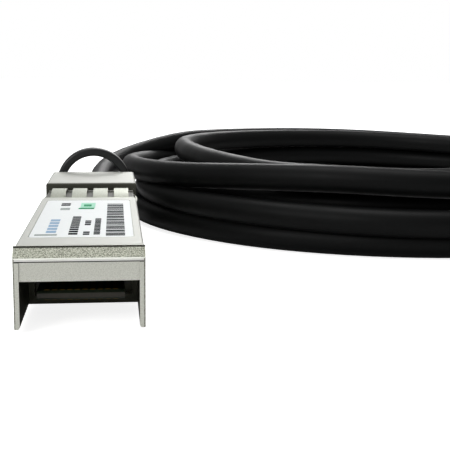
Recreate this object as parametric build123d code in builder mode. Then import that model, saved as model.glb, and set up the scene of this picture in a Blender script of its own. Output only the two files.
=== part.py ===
from build123d import *
import os
from math import cos, pi, radians, sin, tan

# Direct attach copper cable: one twinax cable, loosely coiled, with a die-cast pluggable module moulded
# around each end. Sizes are in millimetres. X runs across the near plug, Y from its mating face towards
# the cable and Z up. The origin is the middle of the mating face's lower edge line, level with the
# underside of the shell, and the plugs' rear blocks stand a little lower, on the floor.

# Shell of a plug, the part that goes into the port
shell_width = 13.4
shell_height = 8.5
shell_length = 47.6
side_wall = 1.2
floor_thickness = 1.0
cover_thickness = 1.0
cover_inset = 0.1
shell_corner = 0.25
cover_edge_radius = 0.3

# Open nose of the shell
cheek_thickness = 0.6
cheek_length = 10.4
cheek_rounding = 0.28
nose_chamfer = 1.2
nose_bar_depth = 2.2
nose_lip_depth = 1.3
nose_face_height = 2.3
nose_ridge_height = 0.2
nose_face_recess = 0.15
cover_gap = 0.25

# Block that stays outside the port
block_width = 13.7
block_length = 15.4
block_rise = 0.9
block_drop = 0.5
block_edge_radius = 0.5
block_undercut = 0.3
cable_height = 5.0

# Spring-finger collar
collar_setback = 0.2
collar_length = 10.8
collar_recess = 0.35
collar_thickness = 0.22
collar_band = 1.6
collar_clearance = 0.03
finger_width = 2.1
finger_pitch = 3.0
finger_bulge = 0.85
side_finger_bulge = 0.5
low_finger_bulge = 0.6
side_finger_width = 1.7
side_finger_pitch = 2.5
top_fingers = 4
side_fingers = 3

# Label on the cover
label_width = 11.2
label_start = 5.9
label_rear_margin = 2.3
label_thickness = 0.1
label_recess = 0.1
label_corner = 0.5
label_clearance = 0.1

# Edge card and what is on it
card_start = 3.2
card_rear_gap = 2.8
card_thickness = 1.0
card_height = 2.25
card_nose_width = 9.2
card_nose_length = 7.0
card_side_gap = 0.2
card_bevel = 0.25
contact_pitch = 0.8
contact_width = 0.54
contact_length = 3.4
contact_setback = 0.4
contact_thickness = 0.06
contacts_per_side = 10
ledge_width = 1.1
ledge_start = 12.0
rib_width = 0.6
rib_length = 4.0
rib_spacing = 14.0
chip_width = 3.0
chip_length = 4.4
chip_height = 0.9
chip_gap = 3.2
capacitor_length = 1.0
capacitor_width = 0.5
capacitor_height = 0.5
capacitor_gap = 4.6
capacitor_pitch = 1.6
capacitor_count = 4

# Cable and how each plug holds it
cable_diameter = 4.2
bore_clearance = 0.05
pair_width = 2.3
pair_thickness = 1.2
pair_spacing = 3.0
pair_overlap = 3.2
pair_bend = 4.0
jacket_setback = 5.6
bed_setback = 3.0
ferrule_wall = 0.3
ferrule_flange = 0.35
ferrule_flange_length = 0.8
ferrule_length = 5.2
boot_anchor_radius = 2.85
boot_anchor_length = 1.2
boot_anchor_setback = 1.6
boot_neck_radius = 2.4
boot_base_radius = 2.42
boot_tip_radius = 2.32
boot_length = 5.0
boot_groove_width = 0.7
boot_groove_depth = 0.12
boot_groove_pitch = 1.4
boot_groove_start = 1.2
boot_grooves = 3
wire_window_width = 7.2
wire_window_height = 3.2
partition_thickness = 1.2

# Latch under the plug: a rocking lever that a sliding plate lifts
pocket_width = 6.4
pocket_reach = 9.6
pocket_depth = 2.2
pocket_roof = 0.8
pivot_setback = 6.9
pivot_height = 1.4
pivot_radius = 0.35
pivot_clearance = 0.03
pivot_bearing = 1.2
lever_width = 4.8
lever_reach = 6.4
lever_thickness = 1.15
lever_lift = 0.05
lever_back_height = 1.7
lever_hub_height = 2.0
lever_tail = 0.8
latch_reach = 2.6
latch_width = 2.6
latch_length = 2.6
latch_height = 0.45
latch_flat = 0.6
latch_spring_setback = 1.0
latch_spring_radius = 0.8
latch_spring_wire = 0.22
latch_spring_turns = 3
latch_spring_seat = 0.8

# Sliding release plate, its return spring and the ring that pulls it
slide_width = 7.2
slide_thickness = 0.5
slide_height = 0.1
slide_clearance = 0.05
slide_setback = 1.9
slide_travel = 2.0
slide_tail_width = 6.0
wedge_length = 1.0
wedge_height = 0.25
tab_width = 1.8
tab_setback = 8.2
tab_height = 1.2
rear_wall = 1.0
return_spring_radius = 0.45
return_spring_wire = 0.22
return_spring_turns = 7
spring_wire_sides = 6
ring_gap = 0.4
ring_depth = 2.4
ring_band = 1.4
ring_outer_radius = 6.3
ring_centre_height = 7.1
ring_foot_height = 1.6
ring_ground_gap = 0.1
ring_edge = 0.45
rivet_radius = 0.35
rivet_spacing = 3.8
rivet_clearance = 0.03

# Screws that hold the two halves of the block together
screw_inset = 1.5
screw_setback = 10.9
screw_shank_radius = 0.75
screw_head_radius = 1.25
screw_length = 7.0
screw_clearance = 0.04
socket_radius = 0.5
socket_depth = 0.6

# Free cable: where its coil lies and where the far plug lies
coil_x = 57.0
coil_y = 85.0
coil_outer_radius = 52.0
coil_inner_radius = 42.4
coil_height = 13.1
coil_rounding = 2.1
far_plug_x = 117.0
far_plug_y = -4.0

# Values that follow from those above
floor_level = -block_drop
cover_seat = shell_height - cover_thickness
plug_length = shell_length + block_length
mouth_top = shell_height - nose_chamfer - nose_face_height
ridge_bottom = shell_height - nose_chamfer - nose_ridge_height
half_inside = shell_width / 2 - side_wall
mouth_width = shell_width - 2 * cheek_thickness
block_top = shell_height + block_rise
collar_end = shell_length - collar_setback
collar_start = collar_end - collar_length
label_length = collar_start - label_rear_margin - label_start
pocket_start = shell_length - pocket_reach
card_end = pocket_start - side_wall - card_rear_gap
card_body_width = 2 * (half_inside - card_side_gap)
contact_middle = card_start + contact_setback + contact_length / 2
capacitor_place = contact_middle + (contact_length + capacitor_length) / 2 + capacitor_gap
chip_place = capacitor_place + (capacitor_length + chip_length) / 2 + chip_gap
jacket_end = shell_length + jacket_setback
bed_start = shell_length + bed_setback
pivot_place = shell_length + pivot_setback
lever_tip = shell_length - lever_reach
latch_shoulder = shell_length - latch_reach
latch_spring_place = shell_length + latch_spring_setback
slide_start = shell_length + slide_setback
tab_place = shell_length + tab_setback
screw_place = shell_length + screw_setback
screw_spacing = block_width - 2 * screw_inset
card_top = card_height + card_thickness
cable_radius = cable_diameter / 2
bore_radius = cable_radius + bore_clearance
ferrule_radius = bore_radius + ferrule_wall
ferrule_end = jacket_end + ferrule_length
ferrule_flange_start = ferrule_end - ferrule_flange_length
boot_anchor_start = plug_length - boot_anchor_setback - boot_anchor_length
pocket_floor = pocket_depth + pocket_roof
pocket_end = pivot_place + lever_tail + 0.3
window_bottom = cable_height - wire_window_height / 2
slide_top = slide_height + slide_thickness
channel_width = tab_width + 0.2
channel_top = slide_top + tab_height + 0.1
belly_front = slide_top + wedge_height + 0.1
belly_rear = slide_top + wedge_height - 0.05
ring_start = plug_length + ring_gap
ring_bottom = floor_level + ring_ground_gap
ring_middle = ring_start + ring_depth / 2
ring_inner_radius = ring_outer_radius - ring_band
screw_seat = floor_level + socket_depth + 0.2


def across(y):
    """Plane across the plug at this distance from the mating face. A negative extrusion runs to the cable."""
    return Plane.XZ.offset(-y)


def pocket(width, y_span, z_span, x=0.0):
    """Cuts a straight-sided pocket from the part being built, centred on x."""
    with Locations((x, y_span[0], z_span[0])):
        Box(
            width,
            y_span[1] - y_span[0],
            z_span[1] - z_span[0],
            align=(Align.CENTER, Align.MIN, Align.MIN),
            mode=Mode.SUBTRACT,
        )


# Bed for the cable's end, turned about the cable's axis. Each half of the block takes half of it.
with BuildPart() as cable_bed:
    with BuildSketch(Plane.YZ):
        with BuildLine():
            Polyline(
                (bed_start, cable_height),
                (bed_start, cable_height + ferrule_radius + bore_clearance),
                (ferrule_flange_start - bore_clearance, cable_height + ferrule_radius + bore_clearance),
                (
                    ferrule_flange_start - bore_clearance,
                    cable_height + ferrule_radius + ferrule_flange + bore_clearance,
                ),
                (
                    ferrule_end + bore_clearance,
                    cable_height + ferrule_radius + ferrule_flange + bore_clearance,
                ),
                (ferrule_end + bore_clearance, cable_height + ferrule_radius + bore_clearance),
                (boot_anchor_start - bore_clearance, cable_height + ferrule_radius + bore_clearance),
                (boot_anchor_start - bore_clearance, cable_height + boot_anchor_radius + bore_clearance),
                (
                    boot_anchor_start + boot_anchor_length + bore_clearance,
                    cable_height + boot_anchor_radius + bore_clearance,
                ),
                (
                    boot_anchor_start + boot_anchor_length + bore_clearance,
                    cable_height + boot_neck_radius + bore_clearance,
                ),
                (plug_length + 1.0, cable_height + boot_neck_radius + bore_clearance),
                (plug_length + 1.0, cable_height),
                close=True,
            )
        make_face()
    revolve(axis=Axis((0, 0, cable_height), (0, 1, 0)))

# Lower shell: a die-cast tray with an open nose, a raised floor over the latch and half of the block
with BuildPart() as base_shell:
    with BuildSketch(Plane.XY):
        Rectangle(shell_width, shell_length, align=(Align.CENTER, Align.MIN))
    extrude(amount=shell_height)
    chamfer(
        base_shell.edges().filter_by(Axis.X).group_by(Axis.Y)[0].sort_by(Axis.Z)[-1],
        length=nose_chamfer,
    )
    fillet(
        base_shell.edges().filter_by(Axis.Z).group_by(Axis.Y)[0],
        radius=shell_corner,
    )
    # The front face lies a little behind the cheeks, under a narrow ridge at the chamfer's foot
    pocket(mouth_width, (-1.0, nose_face_recess), (-1.0, ridge_bottom))
    # The cover's seat, behind the lip of the nose
    pocket(shell_width + 1.0, (nose_lip_depth, shell_length + 1.0), (cover_seat, shell_height + 1.0))
    # Half of the block
    with BuildSketch(Plane.XY.offset(floor_level)):
        with Locations((0, shell_length)):
            Rectangle(block_width, block_length, align=(Align.CENTER, Align.MIN))
    extrude(amount=cable_height - floor_level)
    fillet(
        base_shell.edges().group_by(Axis.Z)[0],
        radius=block_edge_radius / 2,
    )
    # The mouth under the nose bar and the space behind it, open below between the cheeks
    pocket(mouth_width, (-1.0, nose_bar_depth), (-1.0, mouth_top))
    pocket(mouth_width, (nose_bar_depth, cheek_length), (-1.0, cover_seat))
    cheek_edges = (
        base_shell.edges()
        .filter_by(Axis.Y)
        .filter_by(lambda e: e.center().Y < cheek_length and abs(e.center().Z) < 0.01)
    )
    fillet(cheek_edges, radius=cheek_rounding)
    # The main cavity, then the shallower one over the latch
    pocket(2 * half_inside, (cheek_length, pocket_start - side_wall), (floor_thickness, cover_seat))
    pocket(
        2 * half_inside,
        (pocket_start - side_wall, shell_length - partition_thickness),
        (pocket_floor, cover_seat),
    )
    # Ledges that carry the edge card
    for side in (-1, 1):
        with BuildSketch(across(ledge_start)):
            with Locations((side * (half_inside - ledge_width / 2), floor_thickness)):
                Rectangle(ledge_width, card_height - floor_thickness, align=(Align.CENTER, Align.MIN))
        extrude(amount=-(card_end - ledge_start))
    # Window for the wires, through the partition into the block
    pocket(
        wire_window_width,
        (shell_length - partition_thickness - 1.0, shell_length),
        (window_bottom, cover_seat + 1.0),
    )
    pocket(wire_window_width, (shell_length - 0.1, jacket_end - 1.2), (window_bottom, cable_height + 1.0))
    add(cable_bed.part, mode=Mode.SUBTRACT)
    # Latch pocket, open below, with the spring's hole in its roof and the bearing of the pivot pin
    pocket(pocket_width, (pocket_start, pocket_end), (floor_level - 1.0, pocket_depth))
    pocket(channel_width, (pocket_end, plug_length - rear_wall), (0.0, channel_top))
    with Locations((0, latch_spring_place, pocket_depth)):
        Cylinder(
            latch_spring_radius + latch_spring_wire,
            latch_spring_seat,
            align=(Align.CENTER, Align.CENTER, Align.MIN),
            mode=Mode.SUBTRACT,
        )
    with Locations(Location((0, pivot_place, pivot_height), (0, 90, 0))):
        Cylinder(
            pivot_radius + pivot_clearance,
            pocket_width + 2 * pivot_bearing,
            mode=Mode.SUBTRACT,
        )
    # Grooves for the sliding plate, open at the back and along the middle below
    pocket(
        slide_width + 2 * slide_clearance,
        (slide_start - 0.3, plug_length + 1.0),
        (slide_height - slide_clearance, slide_top + slide_clearance),
    )
    pocket(pocket_width, (pocket_start, plug_length + 1.0), (floor_level - 1.0, slide_top))
    # Seat of the collar
    with BuildSketch(across(collar_start)):
        with Locations((0, shell_height / 2)):
            Rectangle(shell_width + 2.0, shell_height + 2.0)
            Rectangle(
                shell_width - 2 * collar_recess,
                shell_height - 2 * collar_recess,
                mode=Mode.SUBTRACT,
            )
    extrude(amount=-collar_length, mode=Mode.SUBTRACT)
    # Countersunk holes for the screws
    for side in (-1, 1):
        with BuildSketch(Plane.XZ.offset(-screw_place)):
            with BuildLine():
                x = side * screw_spacing / 2
                Polyline(
                    (x, floor_level - 1.0),
                    (x + screw_head_radius + screw_clearance, floor_level - 1.0),
                    (x + screw_head_radius + screw_clearance, floor_level + 0.2),
                    (x + screw_shank_radius + screw_clearance, screw_seat + screw_clearance),
                    (x + screw_shank_radius + screw_clearance, cable_height + 1.0),
                    (x, cable_height + 1.0),
                    close=True,
                )
            make_face()
        revolve(axis=Axis((side * screw_spacing / 2, screw_place, 0), (0, 0, 1)), mode=Mode.SUBTRACT)

# Upper shell: the plate behind the nose, the seat of the collar and the other half of the block
with BuildPart() as top_cover:
    plate_width = shell_width - 2 * cover_inset
    with BuildSketch(Plane.XY.offset(cover_seat)):
        with Locations((0, nose_lip_depth + cover_gap)):
            Rectangle(
                plate_width,
                shell_length - nose_lip_depth - cover_gap,
                align=(Align.CENTER, Align.MIN),
            )
    extrude(amount=cover_thickness)
    fillet(
        top_cover.faces().sort_by(Axis.Z)[-1].edges(),
        radius=cover_edge_radius,
    )
    with BuildSketch(Plane.XY.offset(cable_height)):
        with Locations((0, shell_length)):
            Rectangle(block_width, block_length, align=(Align.CENTER, Align.MIN))
    extrude(amount=block_top - cable_height)
    fillet(
        top_cover.faces().sort_by(Axis.Z)[-1].edges(),
        radius=block_edge_radius,
    )
    # Recess of the label
    with BuildSketch(Plane.XY.offset(shell_height)):
        with Locations((0, label_start + label_length / 2)):
            RectangleRounded(
                label_width + 2 * label_clearance,
                label_length + 2 * label_clearance,
                label_corner + label_clearance,
            )
    extrude(amount=-label_recess, mode=Mode.SUBTRACT)
    # Ribs that hold the edge card down on its ledges
    for side in (-1, 1):
        for y in (ledge_start + rib_length / 2, ledge_start + rib_length / 2 + rib_spacing):
            with BuildSketch(Plane.XY.offset(card_top)):
                with Locations((side * (card_body_width / 2 - rib_width / 2), y)):
                    Rectangle(rib_width, rib_length)
            extrude(amount=cover_seat - card_top)
    with BuildSketch(across(collar_start)):
        with Locations((0, shell_height / 2)):
            Rectangle(shell_width + 2.0, shell_height + 2.0)
            Rectangle(
                shell_width - 2 * collar_recess,
                shell_height - 2 * collar_recess,
                mode=Mode.SUBTRACT,
            )
    extrude(amount=-collar_length, mode=Mode.SUBTRACT)
    # Groove under the front edge of the block, where the fingers' ends spring down
    pocket(
        2 * half_inside,
        (collar_end - 0.1, shell_length + block_undercut),
        (shell_height - collar_recess, shell_height),
    )
    pocket(
        wire_window_width,
        (shell_length - 0.1, jacket_end - 1.2),
        (cable_height - 1.0, cable_height + wire_window_height / 2),
    )
    add(cable_bed.part, mode=Mode.SUBTRACT)
    with GridLocations(screw_spacing, 0, 2, 1):
        with Locations((0, screw_place, cable_height)):
            Cylinder(
                screw_shank_radius + screw_clearance,
                floor_level + screw_length - cable_height + screw_clearance,
                align=(Align.CENTER, Align.CENTER, Align.MIN),
                mode=Mode.SUBTRACT,
            )

# Printed label in its recess
with BuildPart() as label:
    with BuildSketch(Plane.XY.offset(shell_height - label_recess)):
        with Locations((0, label_start + label_length / 2)):
            RectangleRounded(label_width, label_length, label_corner)
    extrude(amount=label_thickness)

# Edge card, narrower where it goes into the port's connector
with BuildPart() as edge_card:
    with BuildSketch(Plane.XY.offset(card_height)):
        with Locations((0, card_start)):
            Rectangle(card_nose_width, card_nose_length, align=(Align.CENTER, Align.MIN))
        with Locations((0, card_start + card_nose_length)):
            Rectangle(
                card_body_width,
                card_end - card_start - card_nose_length,
                align=(Align.CENTER, Align.MIN),
            )
    extrude(amount=card_thickness)
    chamfer(
        edge_card.edges().filter_by(Axis.X).group_by(Axis.Y)[0],
        length=card_bevel,
    )

# Gold contact fingers on the card's upper face
with BuildPart() as upper_contacts:
    with BuildSketch(Plane.XY.offset(card_top)):
        with Locations((0, contact_middle)):
            with GridLocations(contact_pitch, 0, contacts_per_side, 1):
                Rectangle(contact_width, contact_length)
    extrude(amount=contact_thickness)

# and on its lower face
with BuildPart() as lower_contacts:
    with BuildSketch(Plane.XY.offset(card_height)):
        with Locations((0, contact_middle)):
            with GridLocations(contact_pitch, 0, contacts_per_side, 1):
                Rectangle(contact_width, contact_length)
    extrude(amount=-contact_thickness)

# Memory chip that tells the host what is plugged in
with BuildPart() as memory_chip:
    with Locations((0, chip_place, card_top)):
        Box(chip_width, chip_length, chip_height, align=(Align.CENTER, Align.CENTER, Align.MIN))
    chamfer(memory_chip.faces().sort_by(Axis.Z)[-1].edges(), length=card_bevel)

# Coupling capacitors in the receiving lines
with BuildPart() as capacitors:
    with Locations((0, capacitor_place, card_top)):
        with GridLocations(capacitor_pitch, 0, capacitor_count, 1):
            Box(
                capacitor_width,
                capacitor_length,
                capacitor_height,
                align=(Align.CENTER, Align.CENTER, Align.MIN),
            )

# Two shielded pairs of wires from the cable's end to the card
with BuildPart() as wire_pairs:
    for side in (-1, 1):
        with BuildLine() as pair_route:
            FilletPolyline(
                (side * pair_spacing / 2, card_end - pair_overlap, card_top + pair_thickness / 2),
                (side * pair_spacing / 2, card_end + 2.0, card_top + pair_thickness / 2),
                (side * pair_width / 2, shell_length - 1.0, cable_height),
                (side * pair_width / 2, jacket_end - 0.1, cable_height),
                radius=pair_bend,
            )
        with BuildSketch(Plane(origin=pair_route.line @ 0, x_dir=(1, 0, 0), z_dir=(0, 1, 0))):
            RectangleRounded(pair_width - 0.1, pair_thickness, pair_thickness / 2 - 0.01)
        sweep(path=pair_route.line)

# Crimped ferrule on the jacket's end, locked in the bed by its flange
with BuildPart() as ferrule:
    with BuildSketch(across(jacket_end)):
        with Locations((0, cable_height)):
            Circle(ferrule_radius)
            Circle(bore_radius, mode=Mode.SUBTRACT)
    extrude(amount=-(ferrule_length - ferrule_flange_length))
    with BuildSketch(across(ferrule_flange_start)):
        with Locations((0, cable_height)):
            Circle(ferrule_radius + ferrule_flange)
            Circle(bore_radius, mode=Mode.SUBTRACT)
    extrude(amount=-ferrule_flange_length)

# Rubber strain relief, anchored in the block, with bending grooves in its tapered sleeve
with BuildPart() as strain_relief:
    with BuildSketch(Plane.YZ):
        with BuildLine():
            Polyline(
                (boot_anchor_start, cable_height + bore_radius),
                (boot_anchor_start, cable_height + boot_anchor_radius),
                (boot_anchor_start + boot_anchor_length, cable_height + boot_anchor_radius),
                (boot_anchor_start + boot_anchor_length, cable_height + boot_neck_radius),
                (plug_length + 0.1, cable_height + boot_neck_radius),
                (plug_length + 0.1, cable_height + boot_base_radius),
                (plug_length + boot_length, cable_height + boot_tip_radius),
                (plug_length + boot_length, cable_height + bore_radius),
                close=True,
            )
        make_face()
        for i in range(boot_grooves):
            with Locations((plug_length + boot_groove_start + i * boot_groove_pitch, cable_height)):
                with Locations((0, boot_base_radius)):
                    Rectangle(boot_groove_width, 2 * boot_groove_depth, mode=Mode.SUBTRACT)
    revolve(axis=Axis((0, 0, cable_height), (0, 1, 0)))

# Sprung collar that grounds the shell in its port: a band with arched fingers on all four sides
seat_half_width = shell_width / 2 - collar_recess + collar_clearance
seat_top = shell_height - collar_recess + collar_clearance
seat_bottom = collar_recess - collar_clearance


def finger_outline(bulge):
    """Long section of one finger: Y along the plug, then the height above the seat."""
    rise = bulge - collar_thickness
    front = collar_start + collar_band - 0.1
    back = collar_end - 0.5
    middle = (front + back) / 2
    with BuildSketch() as outline:
        with BuildLine():
            ThreePointArc((front, 0), (middle, rise), (back, 0))
            Line((back, 0), (back, collar_thickness))
            ThreePointArc((back, collar_thickness), (middle, bulge), (front, collar_thickness))
            Line((front, collar_thickness), (front, 0))
        make_face()
    return outline.sketch


with BuildPart() as emi_collar:
    with BuildSketch(across(collar_start)):
        with Locations((0, shell_height / 2)):
            RectangleRounded(
                2 * (seat_half_width + collar_thickness),
                seat_top - seat_bottom + 2 * collar_thickness,
                2 * collar_thickness,
            )
            Rectangle(2 * seat_half_width, seat_top - seat_bottom, mode=Mode.SUBTRACT)
    extrude(amount=-collar_band)
    for i in range(top_fingers):
        x = (i - (top_fingers - 1) / 2) * finger_pitch
        with BuildSketch(Plane(origin=(x, 0, seat_top), x_dir=(0, 1, 0), z_dir=(1, 0, 0))):
            add(finger_outline(finger_bulge))
        extrude(amount=finger_width / 2, both=True)
    low_finger_place = pocket_width / 2 + 0.3 + finger_width / 2
    for side in (-1, 1):
        with BuildSketch(
            Plane(
                origin=(side * low_finger_place, 0, seat_bottom),
                x_dir=(0, 1, 0),
                z_dir=(-1, 0, 0),
            )
        ):
            add(finger_outline(low_finger_bulge))
        extrude(amount=finger_width / 2, both=True)
        for i in range(side_fingers):
            z = shell_height / 2 + (i - (side_fingers - 1) / 2) * side_finger_pitch
            with BuildSketch(
                Plane(
                    origin=(side * seat_half_width, 0, z),
                    x_dir=(0, 1, 0),
                    z_dir=(0, 0, -side),
                )
            ):
                add(finger_outline(side_finger_bulge))
            extrude(amount=side_finger_width / 2, both=True)

# Pivot pin of the latch lever
with BuildPart() as latch_pin:
    with Locations(Location((0, pivot_place, pivot_height), (0, 90, 0))):
        Cylinder(pivot_radius, pocket_width + 2 * pivot_bearing - 0.1)

# Latch lever: a rocking plate with the catch that holds the plug in its port
with BuildPart() as latch_lever:
    with BuildSketch(Plane.YZ):
        with BuildLine():
            Polyline(
                (lever_tip, lever_lift),
                (slide_start - 2.1, lever_lift),
                (slide_start - 1.1, belly_front),
                (slide_start + wedge_length, belly_front),
                (slide_start + wedge_length + slide_travel - 0.3, belly_rear),
                (pivot_place + lever_tail, belly_rear),
                (pivot_place + lever_tail, lever_hub_height),
                (pivot_place - 1.3, lever_hub_height),
                (pivot_place - 2.1, lever_back_height),
                (slide_start - 2.7, lever_back_height),
                (lever_tip, lever_lift + lever_thickness),
                close=True,
            )
        make_face()
    extrude(amount=lever_width / 2, both=True)
    with BuildSketch(Plane.YZ):
        with BuildLine():
            Polyline(
                (latch_shoulder, lever_lift + 0.1),
                (latch_shoulder, -latch_height),
                (latch_shoulder - latch_flat, -latch_height),
                (latch_shoulder - latch_length, lever_lift),
                (latch_shoulder - latch_length, lever_lift + 0.1),
                close=True,
            )
        make_face()
    extrude(amount=latch_width / 2, both=True)
    with Locations(Location((0, pivot_place, pivot_height), (0, 90, 0))):
        Cylinder(pivot_radius + pivot_clearance, lever_width + 1.0, mode=Mode.SUBTRACT)

# Small spring that presses the catch out
latch_spring_height = pocket_depth + latch_spring_seat - lever_back_height
with BuildPart() as latch_spring:
    with BuildLine() as latch_coil:
        Helix(
            pitch=(latch_spring_height - 1.4 * latch_spring_wire) / latch_spring_turns,
            height=latch_spring_height - 1.4 * latch_spring_wire,
            radius=latch_spring_radius,
            center=(0, latch_spring_place, lever_back_height + 0.7 * latch_spring_wire),
        )
    with BuildSketch(Plane(origin=latch_coil.line @ 0, z_dir=latch_coil.line % 0)):
        RegularPolygon(latch_spring_wire / 2, spring_wire_sides)
    sweep(path=latch_coil.line)

# Sliding release plate with the wedge that lifts the lever and the tab that the spring pushes
with BuildPart() as release_slide:
    with BuildSketch(Plane.XY.offset(slide_height)):
        with Locations((0, slide_start)):
            Rectangle(slide_width, plug_length - 0.2 - slide_start, align=(Align.CENTER, Align.MIN))
            Rectangle(
                slide_tail_width,
                ring_start + ring_depth - 0.2 - slide_start,
                align=(Align.CENTER, Align.MIN),
            )
    extrude(amount=slide_thickness)
    with BuildSketch(Plane.YZ):
        with BuildLine():
            Polyline(
                (slide_start, slide_top - 0.1),
                (slide_start, slide_top + wedge_height / 2),
                (slide_start + wedge_length / 2, slide_top + wedge_height),
                (slide_start + wedge_length, slide_top + wedge_height),
                (slide_start + wedge_length, slide_top - 0.1),
                close=True,
            )
        make_face()
    extrude(amount=lever_width / 2 - 0.2, both=True)
    with BuildSketch(Plane.XY.offset(slide_top - 0.1)):
        with Locations((0, tab_place)):
            Rectangle(tab_width, slide_thickness, align=(Align.CENTER, Align.MIN))
    extrude(amount=tab_height + 0.1)
    with GridLocations(rivet_spacing, 0, 2, 1):
        with Locations((0, ring_middle, slide_height)):
            Cylinder(
                rivet_radius + rivet_clearance,
                2 * slide_thickness,
                mode=Mode.SUBTRACT,
            )

# Spring that brings the slide back
return_spring_start = tab_place + slide_thickness
return_spring_length = plug_length - rear_wall - return_spring_start
return_spring_height = slide_top + return_spring_radius + 0.8 * return_spring_wire
with BuildPart() as return_spring:
    with BuildLine() as return_coil:
        Helix(
            pitch=(return_spring_length - 1.4 * return_spring_wire) / return_spring_turns,
            height=return_spring_length - 1.4 * return_spring_wire,
            radius=return_spring_radius,
            center=(0, return_spring_start + 0.7 * return_spring_wire, return_spring_height),
            direction=(0, 1, 0),
        )
    with BuildSketch(Plane(origin=return_coil.line @ 0, z_dir=return_coil.line % 0)):
        RegularPolygon(return_spring_wire / 2, spring_wire_sides)
    sweep(path=return_coil.line)

# Pull ring: an upright loop around the cable, with the slide's tail in its foot
with BuildPart() as pull_ring:
    with BuildSketch(across(ring_start)):
        with Locations((0, ring_centre_height)):
            Circle(ring_outer_radius)
        with Locations((0, ring_bottom)):
            Rectangle(
                2 * ring_outer_radius,
                ring_centre_height - ring_bottom,
                align=(Align.CENTER, Align.MIN),
            )
        with Locations((0, ring_centre_height)):
            Circle(ring_inner_radius, mode=Mode.SUBTRACT)
        with Locations((0, ring_bottom + ring_foot_height)):
            Rectangle(
                2 * ring_inner_radius,
                ring_centre_height - ring_bottom - ring_foot_height,
                align=(Align.CENTER, Align.MIN),
                mode=Mode.SUBTRACT,
            )
    extrude(amount=-ring_depth)
    ring_faces = pull_ring.faces().filter_by(Axis.Y)
    fillet(ring_faces.edges(), radius=ring_edge)
    pocket(
        slide_tail_width + 2 * slide_clearance,
        (ring_start - 1.0, ring_start + ring_depth + 1.0),
        (slide_height - slide_clearance, slide_top + slide_clearance),
    )
    with GridLocations(rivet_spacing, 0, 2, 1):
        with Locations((0, ring_middle, ring_bottom)):
            Cylinder(
                rivet_radius + rivet_clearance,
                3 * ring_foot_height,
                mode=Mode.SUBTRACT,
            )

# Two rivets through the ring's foot and the slide's tail
with BuildPart() as ring_rivets:
    with GridLocations(rivet_spacing, 0, 2, 1):
        with Locations((0, ring_middle, ring_bottom)):
            Cylinder(
                rivet_radius,
                ring_foot_height,
                align=(Align.CENTER, Align.CENTER, Align.MIN),
            )

# Two countersunk screws from below through the block
with BuildPart() as block_screws:
    for side in (-1, 1):
        x = side * screw_spacing / 2
        with BuildSketch(Plane.XZ.offset(-screw_place)):
            with BuildLine():
                Polyline(
                    (x, floor_level + 0.1),
                    (x + screw_head_radius, floor_level + 0.1),
                    (x + screw_head_radius, floor_level + 0.2),
                    (x + screw_shank_radius, screw_seat),
                    (x + screw_shank_radius, floor_level + screw_length),
                    (x, floor_level + screw_length),
                    close=True,
                )
            make_face()
        revolve(axis=Axis((x, screw_place, 0), (0, 0, 1)))
    with BuildSketch(Plane.XY.offset(floor_level + 0.1)):
        with Locations((0, screw_place)):
            with GridLocations(screw_spacing, 0, 2, 1):
                RegularPolygon(socket_radius, 6)
    extrude(amount=socket_depth, mode=Mode.SUBTRACT)

# The free cable's own solids. Each lead runs straight out of its plug and ends inside the coil.
near_route = [
    (0.0, jacket_end + 0.1, cable_height),
    (0.0, 77.0, cable_height),
    (2.0, 100.5, 8.2),
    (17.5, 116.0, 10.3),
]
far_route = [
    (far_plug_x, far_plug_y + jacket_end + 0.1, cable_height),
    (far_plug_x, 74.0, cable_height),
    (far_plug_x - 4.5, 96.5, 3.2),
    (far_plug_x - 17.5, 112.0, 1.7),
]


def bend_radii(route):
    """As large as the two runs at each corner allow."""
    points = [Vector(*p) for p in route]
    radii = []
    for before, corner, after in zip(points, points[1:], points[2:]):
        turn = (corner - before).get_angle(after - corner)
        shorter = min((corner - before).length, (after - corner).length)
        radii.append(0.45 * shorter / tan(radians(turn) / 2))
    return radii


with BuildPart() as near_lead:
    near_radii = bend_radii(near_route)
    with BuildLine() as near_line:
        FilletPolyline(*near_route, radius=near_radii)
    with BuildSketch(Plane(origin=near_line.line @ 0, z_dir=near_line.line % 0)):
        Circle(cable_radius)
    sweep(path=near_line.line)

with BuildPart() as far_lead:
    far_radii = bend_radii(far_route)
    with BuildLine() as far_line:
        FilletPolyline(*far_route, radius=far_radii)
    with BuildSketch(Plane(origin=far_line.line @ 0, z_dir=far_line.line % 0)):
        Circle(cable_radius)
    sweep(path=far_line.line)

# Outer shape of the coil: a ring with rounded edges on the floor
with BuildPart() as coil:
    with BuildSketch(Plane.XZ.offset(-coil_y)):
        with Locations((coil_x + (coil_outer_radius + coil_inner_radius) / 2, floor_level)):
            with Locations((0, coil_height / 2)):
                RectangleRounded(coil_outer_radius - coil_inner_radius, coil_height, coil_rounding)
    revolve(axis=Axis((coil_x, coil_y, 0), (0, 0, 1)))

# Both plugs are alike, so each piece is written twice, once for each end of the cable
plug_pieces = {
    "base_shell": base_shell.part,
    "top_cover": top_cover.part,
    "label": label.part,
    "edge_card": edge_card.part,
    "upper_contacts": upper_contacts.part,
    "lower_contacts": lower_contacts.part,
    "memory_chip": memory_chip.part,
    "capacitors": capacitors.part,
    "wire_pairs": wire_pairs.part,
    "ferrule": ferrule.part,
    "strain_relief": strain_relief.part,
    "emi_collar": emi_collar.part,
    "latch_pin": latch_pin.part,
    "latch_lever": latch_lever.part,
    "latch_spring": latch_spring.part,
    "release_slide": release_slide.part,
    "return_spring": return_spring.part,
    "pull_ring": pull_ring.part,
    "ring_rivets": ring_rivets.part,
    "block_screws": block_screws.part,
}
plug_places = {
    "near": Location((0, 0, 0)),
    "far": Location((far_plug_x, far_plug_y, 0)),
}

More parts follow.
